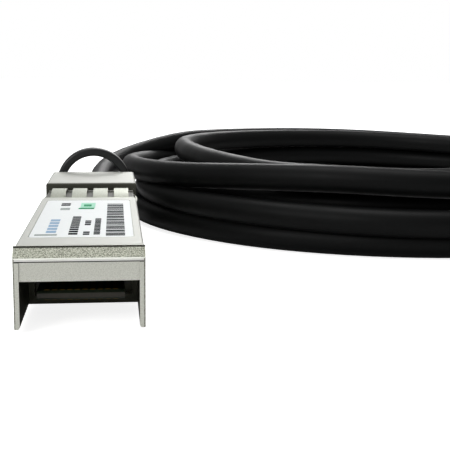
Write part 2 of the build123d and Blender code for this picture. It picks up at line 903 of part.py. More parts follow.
os.makedirs("parts", exist_ok=True)
for end, place in plug_places.items():
    for piece_name, piece in plug_pieces.items():
        placed = piece.moved(place)
        placed.label = f"{end}_{piece_name}"
        export_step(placed, f"parts/{placed.label}.step")

near_lead.part.label = "near_lead"
export_step(near_lead.part, "parts/near_lead.step")
far_lead.part.label = "far_lead"
export_step(far_lead.part, "parts/far_lead.step")
coil.part.label = "cable_coil"
export_step(coil.part, "parts/cable_coil.step")

for lead_name, line, radii, lead in (
    ("near lead", near_line.wires()[0], near_radii, near_lead.part),
    ("far lead", far_line.wires()[0], far_radii, far_lead.part),
):
    section = pi * cable_radius**2
    print(
        lead_name,
        "length",
        round(line.length, 1),
        "radii",
        [round(r, 1) for r in radii],
        "volume over section times length",
        round(lead.volume / (section * line.length), 4),
    )
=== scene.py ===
# %% [markdown]
# # A direct attach copper cable
# The object is one black twinax cable, wound in a loose coil, with a metal plug at each end. The solids
# come from the CAD model: this lesson loads them, lays the cable in its turns, gives each piece the finish
# of the real thing and prints the label. Sizes on the object are written in millimetres and turned to
# Blender's metres where they are used.

# %% Load the solids
import bpy
from math import cos, radians, sin
from mathutils import Matrix, Vector


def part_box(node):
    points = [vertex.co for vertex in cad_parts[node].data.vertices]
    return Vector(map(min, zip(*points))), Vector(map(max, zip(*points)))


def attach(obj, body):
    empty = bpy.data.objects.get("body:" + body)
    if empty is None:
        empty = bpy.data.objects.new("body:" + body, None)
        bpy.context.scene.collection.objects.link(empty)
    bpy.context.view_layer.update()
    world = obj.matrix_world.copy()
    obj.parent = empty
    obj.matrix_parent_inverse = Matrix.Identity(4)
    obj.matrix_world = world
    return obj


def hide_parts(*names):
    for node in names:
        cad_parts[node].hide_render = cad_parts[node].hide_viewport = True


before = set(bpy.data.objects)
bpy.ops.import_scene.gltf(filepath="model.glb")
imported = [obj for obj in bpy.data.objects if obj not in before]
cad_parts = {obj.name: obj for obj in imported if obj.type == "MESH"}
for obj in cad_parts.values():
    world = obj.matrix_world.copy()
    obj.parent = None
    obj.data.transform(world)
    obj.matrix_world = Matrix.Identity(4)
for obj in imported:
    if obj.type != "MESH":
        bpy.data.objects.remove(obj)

# One millimetre in Blender's metres
MM = 0.001
bpy.context.view_layer.update()
# Middle of each plug's mating face, level with the underside of its shell
ENDS = {"near": (0.0, 0.0, 0.0), "far": (117.0, -4.0, 0.0)}

# %% [markdown]
# ## Camera
# The picture was taken close by and low: the lens is 88 mm in front of the plug and 26 mm over its base,
# and it looks down by less than ten degrees. So near, the plug's front is drawn almost three times larger
# than the back of the coil. The place and the three turns were fitted to the plug's corners.

# %% Camera
# The place is in millimetres, the three turns in degrees, the lens in millimetres on a 36 mm sensor
CAMERA_PLACE = (3.72, -88.54, 25.80)
CAMERA_DOWN = 9.61
CAMERA_RIGHT = 7.16
CAMERA_ROLL = 0.70
CAMERA_LENS = 70.4

bpy.ops.object.camera_add()
camera = bpy.context.object
camera.name = "camera"
camera.data.lens = CAMERA_LENS
camera.data.sensor_width = 36.0
# A new camera draws nothing nearer than ten centimetres, and the plug is nearer
camera.data.clip_start = 0.005
camera.matrix_world = (
    Matrix.Translation(Vector(CAMERA_PLACE) * MM)
    @ Matrix.Rotation(radians(-CAMERA_RIGHT), 4, "Z")
    @ Matrix.Rotation(radians(90 - CAMERA_DOWN), 4, "X")
    @ Matrix.Rotation(radians(CAMERA_ROLL), 4, "Z")
)
bpy.context.scene.camera = camera
bpy.context.scene.view_settings.view_transform = "Standard"
print("camera looks along", camera.matrix_world.to_3x3() @ Vector((0, 0, -1)))

# %% [markdown]
# ## The cable's path
# A cable that comes out of its bag keeps the turns it was wound in, but they slacken: some slide outwards,
# some climb on others, and one crosses over its neighbour. So the path isn't a neat helix. It is given by
# what can be measured on the real coil: how far each turn lies from the middle and how high, at ten
# angles, most of them on the near left where the turns are seen best. The cable leaves the near plug
# straight, climbs onto the coil, goes round clockwise and leaves it from below.

# %% Stations of the coil
COIL_MIDDLE = (57.0, 85.0)
CABLE_DIAMETER = 4.2
# For each angle in degrees: distance from the middle and height of the cable's centre, pass after pass
SIDES = {
    90: [(48.4, 10.8), (44.2, 10.6), (50.2, 6.4), (44.9, 6.3), (45.0, 1.7), (49.6, 1.7)],
    45: [(49.2, 9.6), (44.8, 9.7), (51.9, 5.5), (46.2, 5.5), (45.6, 1.7)],
    0: [(49.6, 10.5), (45.2, 10.0), (51.0, 5.8), (46.6, 5.8), (48.4, 1.7)],
    -45: [(47.5, 13.9), (47.8, 9.7), (51.2, 5.7), (45.6, 5.7), (49.6, 1.7)],
    -90: [(45.8, 10.3), (50.0, 10.2), (52.7, 4.9), (44.3, 6.4), (50.9, 1.7)],
    -112: [(45.9, 10.4), (50.1, 10.9), (52.9, 5.1), (44.6, 6.4), (51.4, 1.7)],
    -130: [(44.8, 10.3), (50.1, 10.4), (52.3, 5.3), (44.6, 6.4), (51.6, 1.7)],
    -150: [(40.6, 10.8), (50.0, 9.3), (50.6, 5.2), (44.5, 6.3), (50.9, 1.7)],
    -180: [(38.9, 11.1), (50.0, 8.3), (47.0, 5.4), (44.2, 2.3), (49.9, 1.7)],
    -215: [(42.4, 10.9), (50.3, 7.0), (46.0, 6.2), (44.8, 1.7), (49.8, 1.7)],
}
FIRST_STATION = (126, 49.0, 11.0)
LAST_STATION = (52 - 5 * 360, 50.2, 1.7)

most_passes = max(len(passes) for passes in SIDES.values())
stations = [FIRST_STATION]
for lap in range(most_passes):
    for angle, passes in SIDES.items():
        if lap < len(passes):
            stations.append((angle - 360 * lap, *passes[lap]))
stations.append(LAST_STATION)
print("stations:", len(stations), "over", (FIRST_STATION[0] - LAST_STATION[0]) / 360, "turns")

# %% [markdown]
# ## A smooth line through the stations
# Straight runs between the stations would show as corners. A smooth line passes through each station with
# the slope that its two neighbours give, as a springy cable does, and the coil's points are read off it at
# even steps of angle.

# %% Turns of the coil
POINTS_PER_TURN = 24


def rate(k, column):
    """Change per degree at a station, from the stations on both sides of it."""
    before, after = stations[max(k - 1, 0)], stations[min(k + 1, len(stations) - 1)]
    return (after[column] - before[column]) / (after[0] - before[0])


def between(angle):
    """Distance from the middle and height of the cable's centre, on a smooth line through the stations."""
    k = next(k for k in range(len(stations) - 1) if stations[k + 1][0] <= angle)
    start, end = stations[k], stations[k + 1]
    span = end[0] - start[0]
    u = (angle - start[0]) / span
    return [
        (1 + 2 * u) * (1 - u) ** 2 * start[column]
        + u * (1 - u) ** 2 * span * rate(k, column)
        + u * u * (3 - 2 * u) * end[column]
        + u * u * (u - 1) * span * rate(k + 1, column)
        for column in (1, 2)
    ]


coil_points = []
step = 360 / POINTS_PER_TURN
# A spline passes a little inside its points: it takes 3/4 of a point and 1/8 of each neighbour
outset = 1 / (0.75 + 0.25 * cos(radians(step)))
for i in range(int((FIRST_STATION[0] - LAST_STATION[0]) / step) + 1):
    angle = FIRST_STATION[0] - i * step
    radius, height = between(angle)
    x = COIL_MIDDLE[0] + radius * outset * cos(radians(angle))
    y = COIL_MIDDLE[1] + radius * outset * sin(radians(angle))
    coil_points.append((x, y, height))
print("points in the coil:", len(coil_points))

# %% [markdown]
# ## The cable as one spline
# A round cable could be a mesh tube, but a curve with a bevel keeps its one smooth line, and its path can
# still be changed later. The bevel gives the jacket. The first and last points lie inside the plugs, where
# the ferrules hold the jacket.

# %% Cable
NEAR_LEAD = [(0.0, 53.3, 5.0), (0.0, 77.0, 5.0), (2.2, 100.5, 7.4), (17.5, 116.0, 10.9)]
FAR_LEAD = [(99.5, 112.0, 1.7), (112.5, 96.5, 3.2), (117.0, 74.0, 5.0), (117.0, 49.3, 5.0)]

route = NEAR_LEAD + coil_points + FAR_LEAD
cable_data = bpy.data.curves.new("cable", "CURVE")
cable_data.dimensions = "3D"
spline = cable_data.splines.new("NURBS")
spline.points.add(len(route) - 1)
for point, place in zip(spline.points, route):
    point.co = (*(Vector(place) * MM), 1.0)
    point.radius = CABLE_DIAMETER / 2 * MM
spline.order_u = 3
spline.use_endpoint_u = True
spline.resolution_u = 4
# Each point's radius is multiplied by this depth
cable_data.bevel_depth = 1.0
cable_data.bevel_resolution = 7
cable = bpy.data.objects.new("cable", cable_data)
bpy.context.collection.objects.link(cable)
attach(cable, "cable_and_plugs")
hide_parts("near_lead", "cable_coil", "far_lead")

# %% [markdown]
# ## Colours and nodes
# Colours are read from the picture as hex values, which are made for screens, so one function turns them
# into the linear values that light is reckoned in. Materials are made of nodes, and three more functions
# add a node, start a material and give a finished one to its pieces on both plugs.

# %% Helpers for materials


def hex_colour(code):
    """Linear colour with full alpha from an sRGB hex code such as "e8e8e4"."""
    channels = [int(code[i : i + 2], 16) / 255 for i in (0, 2, 4)]
    return [c / 12.92 if c <= 0.04045 else ((c + 0.055) / 1.055) ** 2.4 for c in channels] + [1.0]


def add_node(tree, kind, sockets=None, **settings):
    """Adds a node. A socket gets a plain value, or a link if the value is another node's output."""
    node = tree.nodes.new(kind)
    for name, value in settings.items():
        setattr(node, name, value)
    for key, value in (sockets or {}).items():
        if isinstance(value, bpy.types.NodeSocket):
            tree.links.new(value, node.inputs[key])
        else:
            node.inputs[key].default_value = value
    return node


def new_material(name, **shader):
    """A material with its Principled shader's uniform values set. Returns it, its tree and its shader."""
    material = bpy.data.materials.new(name)
    material.use_nodes = True
    tree = material.node_tree
    surface = tree.nodes["Principled BSDF"]
    for key, value in shader.items():
        surface.inputs[key.replace("_", " ").title().replace("Ior", "IOR")].default_value = value
    return material, tree, surface


def per_mm(size):
    """Scale of a pattern whose features are this many millimetres across."""
    return 1 / (size * MM)


def dress(names, material):
    """Gives a material to both plugs' nodes of these names."""
    for end in ENDS:
        for name in names:
            node = bpy.data.objects[f"{end}_{name}"]
            node.data.materials.clear()
            node.data.materials.append(material)
            for polygon in node.data.polygons:
                polygon.material_index = 0
    print(material.name, "with", len(material.node_tree.nodes), "nodes, on", ", ".join(names))


print("half grey on a screen is, in linear light,", round(hex_colour("808080")[0], 3))

# %% [markdown]
# ## Die-cast zinc, nickel plated
# The shell is cast in zinc and plated with satin nickel. The plating is bright but not a mirror, and the
# sand-like skin of the casting shows through it, as grains of about an eighth of a millimetre. It shows
# most on the slanted band of the nose, which the light grazes; there the grain is painted in darker tones
# as shade, and elsewhere it is faint. The band could be a piece or a painted mask, but its slope finds it
# as well: only there does the normal look both up and forwards. So one material serves every face of both
# shells.

# %% Skin of the casting
CAST_GRAIN = 0.13

cast_zinc, tree, surface = new_material("nickel_plated_cast_zinc", metallic=0.85, roughness=0.42)
place = add_node(tree, "ShaderNodeTexCoord")
grain = add_node(
    tree,
    "ShaderNodeTexNoise",
    {"Vector": place.outputs["Object"], "Scale": per_mm(CAST_GRAIN), "Detail": 2.0, "Roughness": 0.6},
)
spots = add_node(
    tree,
    "ShaderNodeMapRange",
    {"Value": grain.outputs["Fac"], "From Min": 0.36, "From Max": 0.6, "To Min": 0.0, "To Max": 1.0},
)
geometry = add_node(tree, "ShaderNodeNewGeometry")
normal = add_node(tree, "ShaderNodeSeparateXYZ", {"Vector": geometry.outputs["Normal"]})
up_and_ahead = add_node(
    tree,
    "ShaderNodeMath",
    {0: normal.outputs["Y"], 1: normal.outputs["Z"]},
    operation="MULTIPLY",
)
band = add_node(
    tree,
    "ShaderNodeMapRange",
    {"Value": up_and_ahead.outputs[0], "From Min": -0.42, "From Max": -0.48, "To Min": 0.0, "To Max": 1.0},
)
plain_tone = add_node(
    tree,
    "ShaderNodeMix",
    {0: spots.outputs[0], 6: hex_colour("d3d4c9"), 7: hex_colour("e3e4da")},
    data_type="RGBA",
)
# Painted shade: the slanted band's grain in darker tones, because the light grazes it
band_grain_and_shade = add_node(
    tree,
    "ShaderNodeMix",
    {0: spots.outputs[0], 6: hex_colour("626458"), 7: hex_colour("b6b8aa")},
    data_type="RGBA",
)
tone = add_node(
    tree,
    "ShaderNodeMix",
    {0: band.outputs[0], 6: plain_tone.outputs[2], 7: band_grain_and_shade.outputs[2]},
    data_type="RGBA",
)
print("grains of the casting:", CAST_GRAIN, "mm")

# %% [markdown]
# ## Lines along the nose
# Four thin lines of painted light run across the nose: painted shade under the top edge, a painted
# highlight on the band's rounded lower edge, a painted highlight on the narrow ridge below it, and painted
# shadow on the lip under the ridge. They are fractions of a millimetre high, too thin for light alone to
# draw in this picture, so each is a colour at its height, kept to the faces that look the right way.

# %% Lines along the nose
SHELL_TOP = 8.5
CHAMFER = 1.2
RIDGE = 0.2
RIDGE_TOP = SHELL_TOP - CHAMFER
# Half the height of each line, and how far the middle of the lower edge's painted highlight lies over the
# ridge
TOP_EDGE_SHADE = 0.09
LOW_EDGE_HIGHLIGHT = 0.07
HIGHLIGHT_LIFT = 0.05
LIP_SHADOW = 0.07

height = add_node(tree, "ShaderNodeSeparateXYZ", {"Vector": place.outputs["Object"]})
ahead = add_node(tree, "ShaderNodeMath", {0: normal.outputs["Y"], 1: -0.9}, operation="LESS_THAN")
# Faces that carry the line, the height of its middle, half its height and its colour
nose_lines = [
    # Painted shade under the top edge
    (band, SHELL_TOP - TOP_EDGE_SHADE, TOP_EDGE_SHADE, "2b2b25"),
    # Painted highlight on the band's rounded lower edge
    (band, RIDGE_TOP + HIGHLIGHT_LIFT, LOW_EDGE_HIGHLIGHT, "d9dad2"),
    # Painted highlight on the ridge
    (ahead, RIDGE_TOP - RIDGE / 2, RIDGE / 2, "f4f4ef"),
    # Painted shadow on the lip under the ridge
    (ahead, RIDGE_TOP - RIDGE - LIP_SHADOW, LIP_SHADOW, "33332c"),
]
for faces, middle, half_height, code in nose_lines:
    at_height = add_node(
        tree,
        "ShaderNodeMath",
        {0: height.outputs["Z"], 1: middle * MM, 2: half_height * MM},
        operation="COMPARE",
    )
    on_line = add_node(
        tree,
        "ShaderNodeMath",
        {0: at_height.outputs[0], 1: faces.outputs[0]},
        operation="MULTIPLY",
    )
    tone = add_node(
        tree,
        "ShaderNodeMix",
        {0: on_line.outputs[0], 6: tone.outputs[2], 7: hex_colour(code)},
        data_type="RGBA",
    )
print("lines across the nose:", len(nose_lines))

# %% [markdown]
# ## Rims of the cheeks
# The rims of the two cheeks are rounded, so the light grazes them as it does the band, and the grain shows
# on them too, painted in darker tones as shade. They look forwards and sideways at once: the product of
# those two parts of the normal is large on a rim and nothing on a flat face.

# %% Rims of the cheeks
side_and_ahead = add_node(
    tree,
    "ShaderNodeMath",
    {0: normal.outputs["X"], 1: normal.outputs["Y"]},
    operation="MULTIPLY",
)
either_side = add_node(tree, "ShaderNodeMath", {0: side_and_ahead.outputs[0]}, operation="ABSOLUTE")
rim = add_node(
    tree,
    "ShaderNodeMapRange",
    {"Value": either_side.outputs[0], "From Min": 0.2, "From Max": 0.42, "To Min": 0.0, "To Max": 1.0},
)
# Painted shade: the rims' grain in darker tones, because the light grazes them
rim_grain_and_shade = add_node(
    tree,
    "ShaderNodeMix",
    {0: spots.outputs[0], 6: hex_colour("5c5d53"), 7: hex_colour("a9aa9f")},
    data_type="RGBA",
)
outer_tone = add_node(
    tree,
    "ShaderNodeMix",
    {0: rim.outputs[0], 6: tone.outputs[2], 7: rim_grain_and_shade.outputs[2]},
    data_type="RGBA",
)
print("nodes of the shell's outside:", len(tree.nodes))

# %% [markdown]
# ## Inside of the shell
# Inside the shell, where shade falls, the metal is painted dark as shade. Faces that look towards the
# plug's own middle are inside it, and so are steps behind the nose that look forwards. Generated
# coordinates run from 0 to 1 across a piece's box, so they tell on which side of the middle a face lies.

# %% Inside of the shell
NOSE_SHARE = 0.05

share = add_node(tree, "ShaderNodeSeparateXYZ", {"Vector": place.outputs["Generated"]})
off_middle = add_node(tree, "ShaderNodeMath", {0: share.outputs["X"], 1: 0.5}, operation="SUBTRACT")
outwards = add_node(
    tree,
    "ShaderNodeMath",
    {0: off_middle.outputs[0], 1: normal.outputs["X"]},
    operation="MULTIPLY",
)
facing_in = add_node(
    tree,
    "ShaderNodeMapRange",
    {"Value": outwards.outputs[0], "From Min": -0.1, "From Max": -0.3, "To Min": 0.0, "To Max": 1.0},
)
behind_nose = add_node(
    tree,
    "ShaderNodeMath",
    {0: share.outputs["Y"], 1: NOSE_SHARE},
    operation="GREATER_THAN",
)
step_face = add_node(
    tree,
    "ShaderNodeMath",
    {0: behind_nose.outputs[0], 1: ahead.outputs[0]},
    operation="MULTIPLY",
)
inside = add_node(
    tree,
    "ShaderNodeMath",
    {0: facing_in.outputs[0], 1: step_face.outputs[0]},
    operation="MAXIMUM",
)
# Painted shade on the faces inside the shell
shaded = add_node(
    tree,
    "ShaderNodeMix",
    {0: inside.outputs[0], 6: outer_tone.outputs[2], 7: hex_colour("45463c")},
    data_type="RGBA",
)
relief = add_node(
    tree,
    "ShaderNodeBump",
    {"Strength": 0.35, "Distance": 0.04 * MM, "Height": grain.outputs["Fac"]},
)
tree.links.new(shaded.outputs[2], surface.inputs["Base Color"])
tree.links.new(relief.outputs[0], surface.inputs["Normal"])
dress(["base_shell"], cast_zinc)

# %% [markdown]
# ## The cover
# The cover is the same metal, but its outside was ground flat before it was plated. So it has no sand-like
# skin, only faint lines along the plug, and it is duller than the shell. A noise that is stretched along
# the plug draws the lines, because a grinding belt leaves them of uneven length.

# %% Ground cover
# Real grinding lines are finer than the picture can show, so they are drawn coarser
GRINDING_LINES = 0.12
CLOUD_SIZE = 2.5

ground_zinc, tree, surface = new_material("nickel_plated_ground_zinc", metallic=0.45, roughness=0.55)
place = add_node(tree, "ShaderNodeTexCoord")
stretch = add_node(
    tree,
    "ShaderNodeMapping",
    {"Vector": place.outputs["Object"], "Scale": (1.0, 0.04, 1.0)},
)
lines = add_node(
    tree,
    "ShaderNodeTexNoise",
    {"Vector": stretch.outputs[0], "Scale": per_mm(GRINDING_LINES), "Detail": 2.0},
)
cloud = add_node(
    tree,
    "ShaderNodeTexNoise",
    {"Vector": place.outputs["Object"], "Scale": per_mm(CLOUD_SIZE), "Detail": 2.0},
)
tone = add_node(
    tree,
    "ShaderNodeMix",
    {0: cloud.outputs["Fac"], 6: hex_colour("b5b6b0"), 7: hex_colour("c0c1bb")},
    data_type="RGBA",
)
relief = add_node(
    tree,
    "ShaderNodeBump",
    {"Strength": 0.12, "Distance": 0.02 * MM, "Height": lines.outputs["Fac"]},
)
tree.links.new(relief.outputs[0], surface.inputs["Normal"])
print("grinding lines:", GRINDING_LINES, "mm apart")

# %% [markdown]
# ## Painted shade on the cover
# The cover's underside, its front faces and the seat under the spring collar lie in shade, which is
# painted on them as a dark colour. The first two are found by their normals. The seat is found by its
# place along the cover, which is worked out from the collar's own box, so that it lies under it.

# %% Painted shade on the cover
cover_low, cover_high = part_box("near_top_cover")
collar_low, collar_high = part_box("near_emi_collar")
cover_length = cover_high[1] - cover_low[1]
seat_middle = ((collar_low[1] + collar_high[1]) / 2 - cover_low[1]) / cover_length
seat_half = (collar_high[1] - collar_low[1]) / 2 / cover_length

geometry = add_node(tree, "ShaderNodeNewGeometry")
normal = add_node(tree, "ShaderNodeSeparateXYZ", {"Vector": geometry.outputs["Normal"]})
under = add_node(tree, "ShaderNodeMath", {0: normal.outputs["Z"], 1: -0.5}, operation="LESS_THAN")
ahead = add_node(tree, "ShaderNodeMath", {0: normal.outputs["Y"], 1: -0.7}, operation="LESS_THAN")
under_or_ahead = add_node(
    tree,
    "ShaderNodeMath",
    {0: under.outputs[0], 1: ahead.outputs[0]},
    operation="MAXIMUM",
)
share = add_node(tree, "ShaderNodeSeparateXYZ", {"Vector": place.outputs["Generated"]})
seat = add_node(
    tree,
    "ShaderNodeMath",
    {0: share.outputs["Y"], 1: seat_middle, 2: seat_half},
    operation="COMPARE",
)
cover_shade = add_node(
    tree,
    "ShaderNodeMath",
    {0: under_or_ahead.outputs[0], 1: seat.outputs[0]},
    operation="MAXIMUM",
)
# Painted shade on the cover's underside, its front faces and the seat under the collar
shaded = add_node(
    tree,
    "ShaderNodeMix",
    {0: cover_shade.outputs[0], 6: tone.outputs[2], 7: hex_colour("45453c")},
    data_type="RGBA",
)
tree.links.new(shaded.outputs[2], surface.inputs["Base Color"])
dress(["top_cover"], ground_zinc)

# %% [markdown]
# ## Sheet steel and spring metal
# The collar, the lever and the release plate are cut from rolled sheet. Rolling leaves fine lines along the
# strip, and plating softens them. The springs are drawn wire, which is smoother and darker, and the pins,
# rivets and screws are turned from rod. The foil round the wire pairs and the brass of the ferrule are
# rolled too. One function makes all of them from two tones, a roughness and the spacing of the lines.

# %% Rolled and drawn metal


def rolled_metal(name, dark, light, roughness, line_spacing):
    """Sheet, foil, rod or wire: two close tones in lines along the plug, with a fine relief."""
    material, tree, surface = new_material(name, metallic=1.0, roughness=roughness)
    place = add_node(tree, "ShaderNodeTexCoord")
    stretch = add_node(
        tree,
        "ShaderNodeMapping",
        {"Vector": place.outputs["Object"], "Scale": (1.0, 0.08, 1.0)},
    )
    lines = add_node(
        tree,
        "ShaderNodeTexNoise",
        {"Vector": stretch.outputs[0], "Scale": per_mm(line_spacing), "Detail": 3.0},
    )
    tone = add_node(
        tree,
        "ShaderNodeMix",
        {0: lines.outputs["Fac"], 6: hex_colour(dark), 7: hex_colour(light)},
        data_type="RGBA",
    )
    relief = add_node(
        tree,
        "ShaderNodeBump",
        {"Strength": 0.15, "Distance": 0.02 * MM, "Height": lines.outputs["Fac"]},
    )
    tree.links.new(tone.outputs[2], surface.inputs["Base Color"])
    tree.links.new(relief.outputs[0], surface.inputs["Normal"])
    return material


# Pieces, then the material's name, dark tone, light tone, roughness and line spacing in millimetres.
# The lines are drawn coarser than real ones, which are too fine to show
ROLLED_AND_DRAWN = [
    (["emi_collar"], "plated_spring_sheet", "8c8f83", "a6a99d", 0.45, 0.15),
    (["latch_lever", "release_slide"], "stainless_sheet", "a9aaa8", "c4c5c2", 0.32, 0.12),
    (["latch_spring", "return_spring"], "music_wire", "77787a", "9a9b9c", 0.25, 0.08),
    (["latch_pin", "ring_rivets", "block_screws"], "turned_steel", "8f908e", "aeb0ad", 0.3, 0.1),
    (["wire_pairs"], "aluminium_foil", "b9babc", "dadbdc", 0.28, 0.4),
    (["ferrule"], "crimped_brass", "a98f55", "c9b079", 0.35, 0.15),
]
for names, *look in ROLLED_AND_DRAWN:
    dress(names, rolled_metal(*look))

# %% [markdown]
# ## Cable jacket
# The jacket is PVC, extruded over the copper, with a satin skin. It is almost black, so what shows its
# shape is the light that it mirrors: a soft line along the top of each turn. Extrusion leaves fine pores,
# which soften that line, and handling leaves faint patches that are a little duller or lighter.

# %% Jacket
PATCH_SIZE = 6.0
PORE_SIZE = 0.5

jacket, tree, surface = new_material("extruded_black_pvc", ior=1.46, specular_ior_level=0.15)
place = add_node(tree, "ShaderNodeTexCoord")
patches = add_node(
    tree,
    "ShaderNodeTexNoise",
    {"Vector": place.outputs["Object"], "Scale": per_mm(PATCH_SIZE), "Detail": 2.0},
)
pores = add_node(
    tree,
    "ShaderNodeTexNoise",
    {"Vector": place.outputs["Object"], "Scale": per_mm(PORE_SIZE), "Detail": 2.0},
)
tone = add_node(
    tree,
    "ShaderNodeMix",
    {0: patches.outputs["Fac"], 6: hex_colour("050606"), 7: hex_colour("090a0a")},
    data_type="RGBA",
)
dullness = add_node(
    tree,
    "ShaderNodeMapRange",
    {"Value": patches.outputs["Fac"], "From Min": 0.3, "From Max": 0.7, "To Min": 0.46, "To Max": 0.54},
)
relief = add_node(
    tree,
    "ShaderNodeBump",
    {"Strength": 0.04, "Distance": 0.05 * MM, "Height": pores.outputs["Fac"]},
)
tree.links.new(tone.outputs[2], surface.inputs["Base Color"])
tree.links.new(dullness.outputs[0], surface.inputs["Roughness"])
tree.links.new(relief.outputs[0], surface.inputs["Normal"])
cable.data.materials.append(jacket)
print(jacket.name, "with", len(tree.nodes), "nodes, on", cable.name)

# %% [markdown]
# ## Moulded parts
# The pull ring is moulded nylon with a soft gloss. The sleeve round the cable is rubber, which is duller
# and greyer, and the chip is filled epoxy, which is the dullest. They differ in shade, gloss and grain
# only, so one function makes all three, and later the small ceramic parts, which are pressed and fired.

# %% Moulded parts


def moulded(name, dark, light, roughness, grain_size):
    """Plastic, rubber or ceramic from a mould: two close tones and a fine grain."""
    material, tree, surface = new_material(name, roughness=roughness, ior=1.5)
    place = add_node(tree, "ShaderNodeTexCoord")
    grain = add_node(
        tree,
        "ShaderNodeTexNoise",
        {"Vector": place.outputs["Object"], "Scale": per_mm(grain_size), "Detail": 3.0},
    )
    tone = add_node(
        tree,
        "ShaderNodeMix",
        {0: grain.outputs["Fac"], 6: hex_colour(dark), 7: hex_colour(light)},
        data_type="RGBA",
    )
    relief = add_node(
        tree,
        "ShaderNodeBump",
        {"Strength": 0.2, "Distance": 0.02 * MM, "Height": grain.outputs["Fac"]},
    )
    tree.links.new(tone.outputs[2], surface.inputs["Base Color"])
    tree.links.new(relief.outputs[0], surface.inputs["Normal"])
    return material


dress(["pull_ring"], moulded("moulded_nylon", "0e1011", "1a1c1d", 0.3, 0.4))
dress(["strain_relief"], moulded("moulded_rubber", "141515", "242525", 0.6, 0.2))
dress(["memory_chip"], moulded("filled_epoxy", "1b1b1c", "2c2c2d", 0.7, 0.15))

# %% [markdown]
# ## Circuit board
# The card is glass and resin under a green solder mask. Its cut edge shows the bare laminate, which is
# brownish, so the colour changes where the surface doesn't face up or down. Its contacts are hard gold over
# nickel, and the small capacitors are fired ceramic.

# %% Board, contacts and capacitors
WEAVE_SIZE = 0.4

board, tree, surface = new_material("solder_mask_on_laminate", roughness=0.4, ior=1.5)
place = add_node(tree, "ShaderNodeTexCoord")
weave = add_node(
    tree,
    "ShaderNodeTexNoise",
    {"Vector": place.outputs["Object"], "Scale": per_mm(WEAVE_SIZE), "Detail": 2.0},
)
geometry = add_node(tree, "ShaderNodeNewGeometry")
normal = add_node(tree, "ShaderNodeSeparateXYZ", {"Vector": geometry.outputs["Normal"]})
level_face = add_node(tree, "ShaderNodeMath", {0: normal.outputs["Z"]}, operation="ABSOLUTE")
mask = add_node(
    tree,
    "ShaderNodeMix",
    {0: weave.outputs["Fac"], 6: hex_colour("0f2014"), 7: hex_colour("162c1b")},
    data_type="RGBA",
)
laminate = add_node(
    tree,
    "ShaderNodeMix",
    {0: weave.outputs["Fac"], 6: hex_colour("1e1a10"), 7: hex_colour("302a1b")},
    data_type="RGBA",
)
tone = add_node(
    tree,
    "ShaderNodeMix",
    {0: level_face.outputs[0], 6: laminate.outputs[2], 7: mask.outputs[2]},
    data_type="RGBA",
)
tree.links.new(tone.outputs[2], surface.inputs["Base Color"])
dress(["edge_card"], board)
dress(["upper_contacts", "lower_contacts"], rolled_metal("hard_gold", "5c481c", "7c6532", 0.38, 0.1))
dress(["capacitors"], moulded("fired_ceramic", "7d6040", "9c7c56", 0.45, 0.2))

# %% [markdown]
# ## Label film
# The label is white polyester film. It has a faint sheen and lies perfectly flat in its recess. The film
# itself carries only a trace of texture: all that is on it is ink, which comes next.

# %% Label film
FIBRE_SIZE = 0.6

film, tree, surface = new_material("white_polyester_film", roughness=0.5, specular_ior_level=0.25)
place = add_node(tree, "ShaderNodeTexCoord")
fibre = add_node(
    tree,
    "ShaderNodeTexNoise",
    {"Vector": place.outputs["Object"], "Scale": per_mm(FIBRE_SIZE), "Detail": 3.0},
)
tone = add_node(
    tree,
    "ShaderNodeMix",
    {0: fibre.outputs["Fac"], 6: hex_colour("e4e8e8"), 7: hex_colour("ecf0f0")},
    data_type="RGBA",
)
tree.links.new(tone.outputs[2], surface.inputs["Base Color"])
dress(["label"], film)

# %% [markdown]
# ## Inks
# A thermal printer melts ink from a ribbon onto the film. It lies dull and almost even, and here and there
# a trace of the white film shows through. Each colour is a material of its own.

# %% Inks
FILM_WHITE = 0.8
FILM_SHOWS = 0.05
RIBBON_GRAIN = 0.3


def ink(name, code):
    """Printed ink: one colour, a little uneven, as a thermal printer leaves it."""
    material, tree, surface = new_material(name, roughness=0.9, specular_ior_level=0.0)
    place = add_node(tree, "ShaderNodeTexCoord")
    ribbon = add_node(
        tree,
        "ShaderNodeTexNoise",
        {"Vector": place.outputs["Object"], "Scale": per_mm(RIBBON_GRAIN), "Detail": 2.0},
    )
    full = hex_colour(code)
    worn = [(1 - FILM_SHOWS) * c + FILM_SHOWS * FILM_WHITE for c in full[:3]] + [1.0]
    wear = add_node(
        tree,
        "ShaderNodeMapRange",
        {"Value": ribbon.outputs["Fac"], "From Min": 0.5, "From Max": 0.75, "To Min": 0.0, "To Max": 1.0},
    )
    tone = add_node(tree, "ShaderNodeMix", {0: wear.outputs[0], 6: full, 7: worn}, data_type="RGBA")
    tree.links.new(tone.outputs[2], surface.inputs["Base Color"])
    return material


INKS = {
    "black": ink("black_ink", "24282b"),
    "grey": ink("grey_ink", "a3aba8"),
    "blue": ink("pale_blue_ink", "9db6cf"),
    "mint": ink("mint_ink", "b4e6cf"),
    "green": ink("green_ink", "2f9a68"),
}
print("inks:", ", ".join(INKS))

# %% [markdown]
# ## Fields of print
# A label like this has a bar code along one edge and rows of small marks beside it. A bar code is a comb of
# bars whose widths vary, and a row of marks is, at this size, a row of short dashes. They could be drawn in
# an image, but thin plates stay sharp from any distance. Each plate is a fiftieth of a millimetre thick, so
# that its top doesn't flicker with the film, and all plates of one colour on one plug are one mesh.

# %% Shapes of the print
BAR_MODULE = 0.26
DASH_GAP = 0.3


def dashes(x0, x1, y0, y1, count):
    """A row of equal dashes along the plug, with a gap after each that is a share of its pitch."""
    pitch = (y1 - y0) / count
    return [(x0, x1, y0 + i * pitch, y0 + (i + 1 - DASH_GAP) * pitch) for i in range(count)]


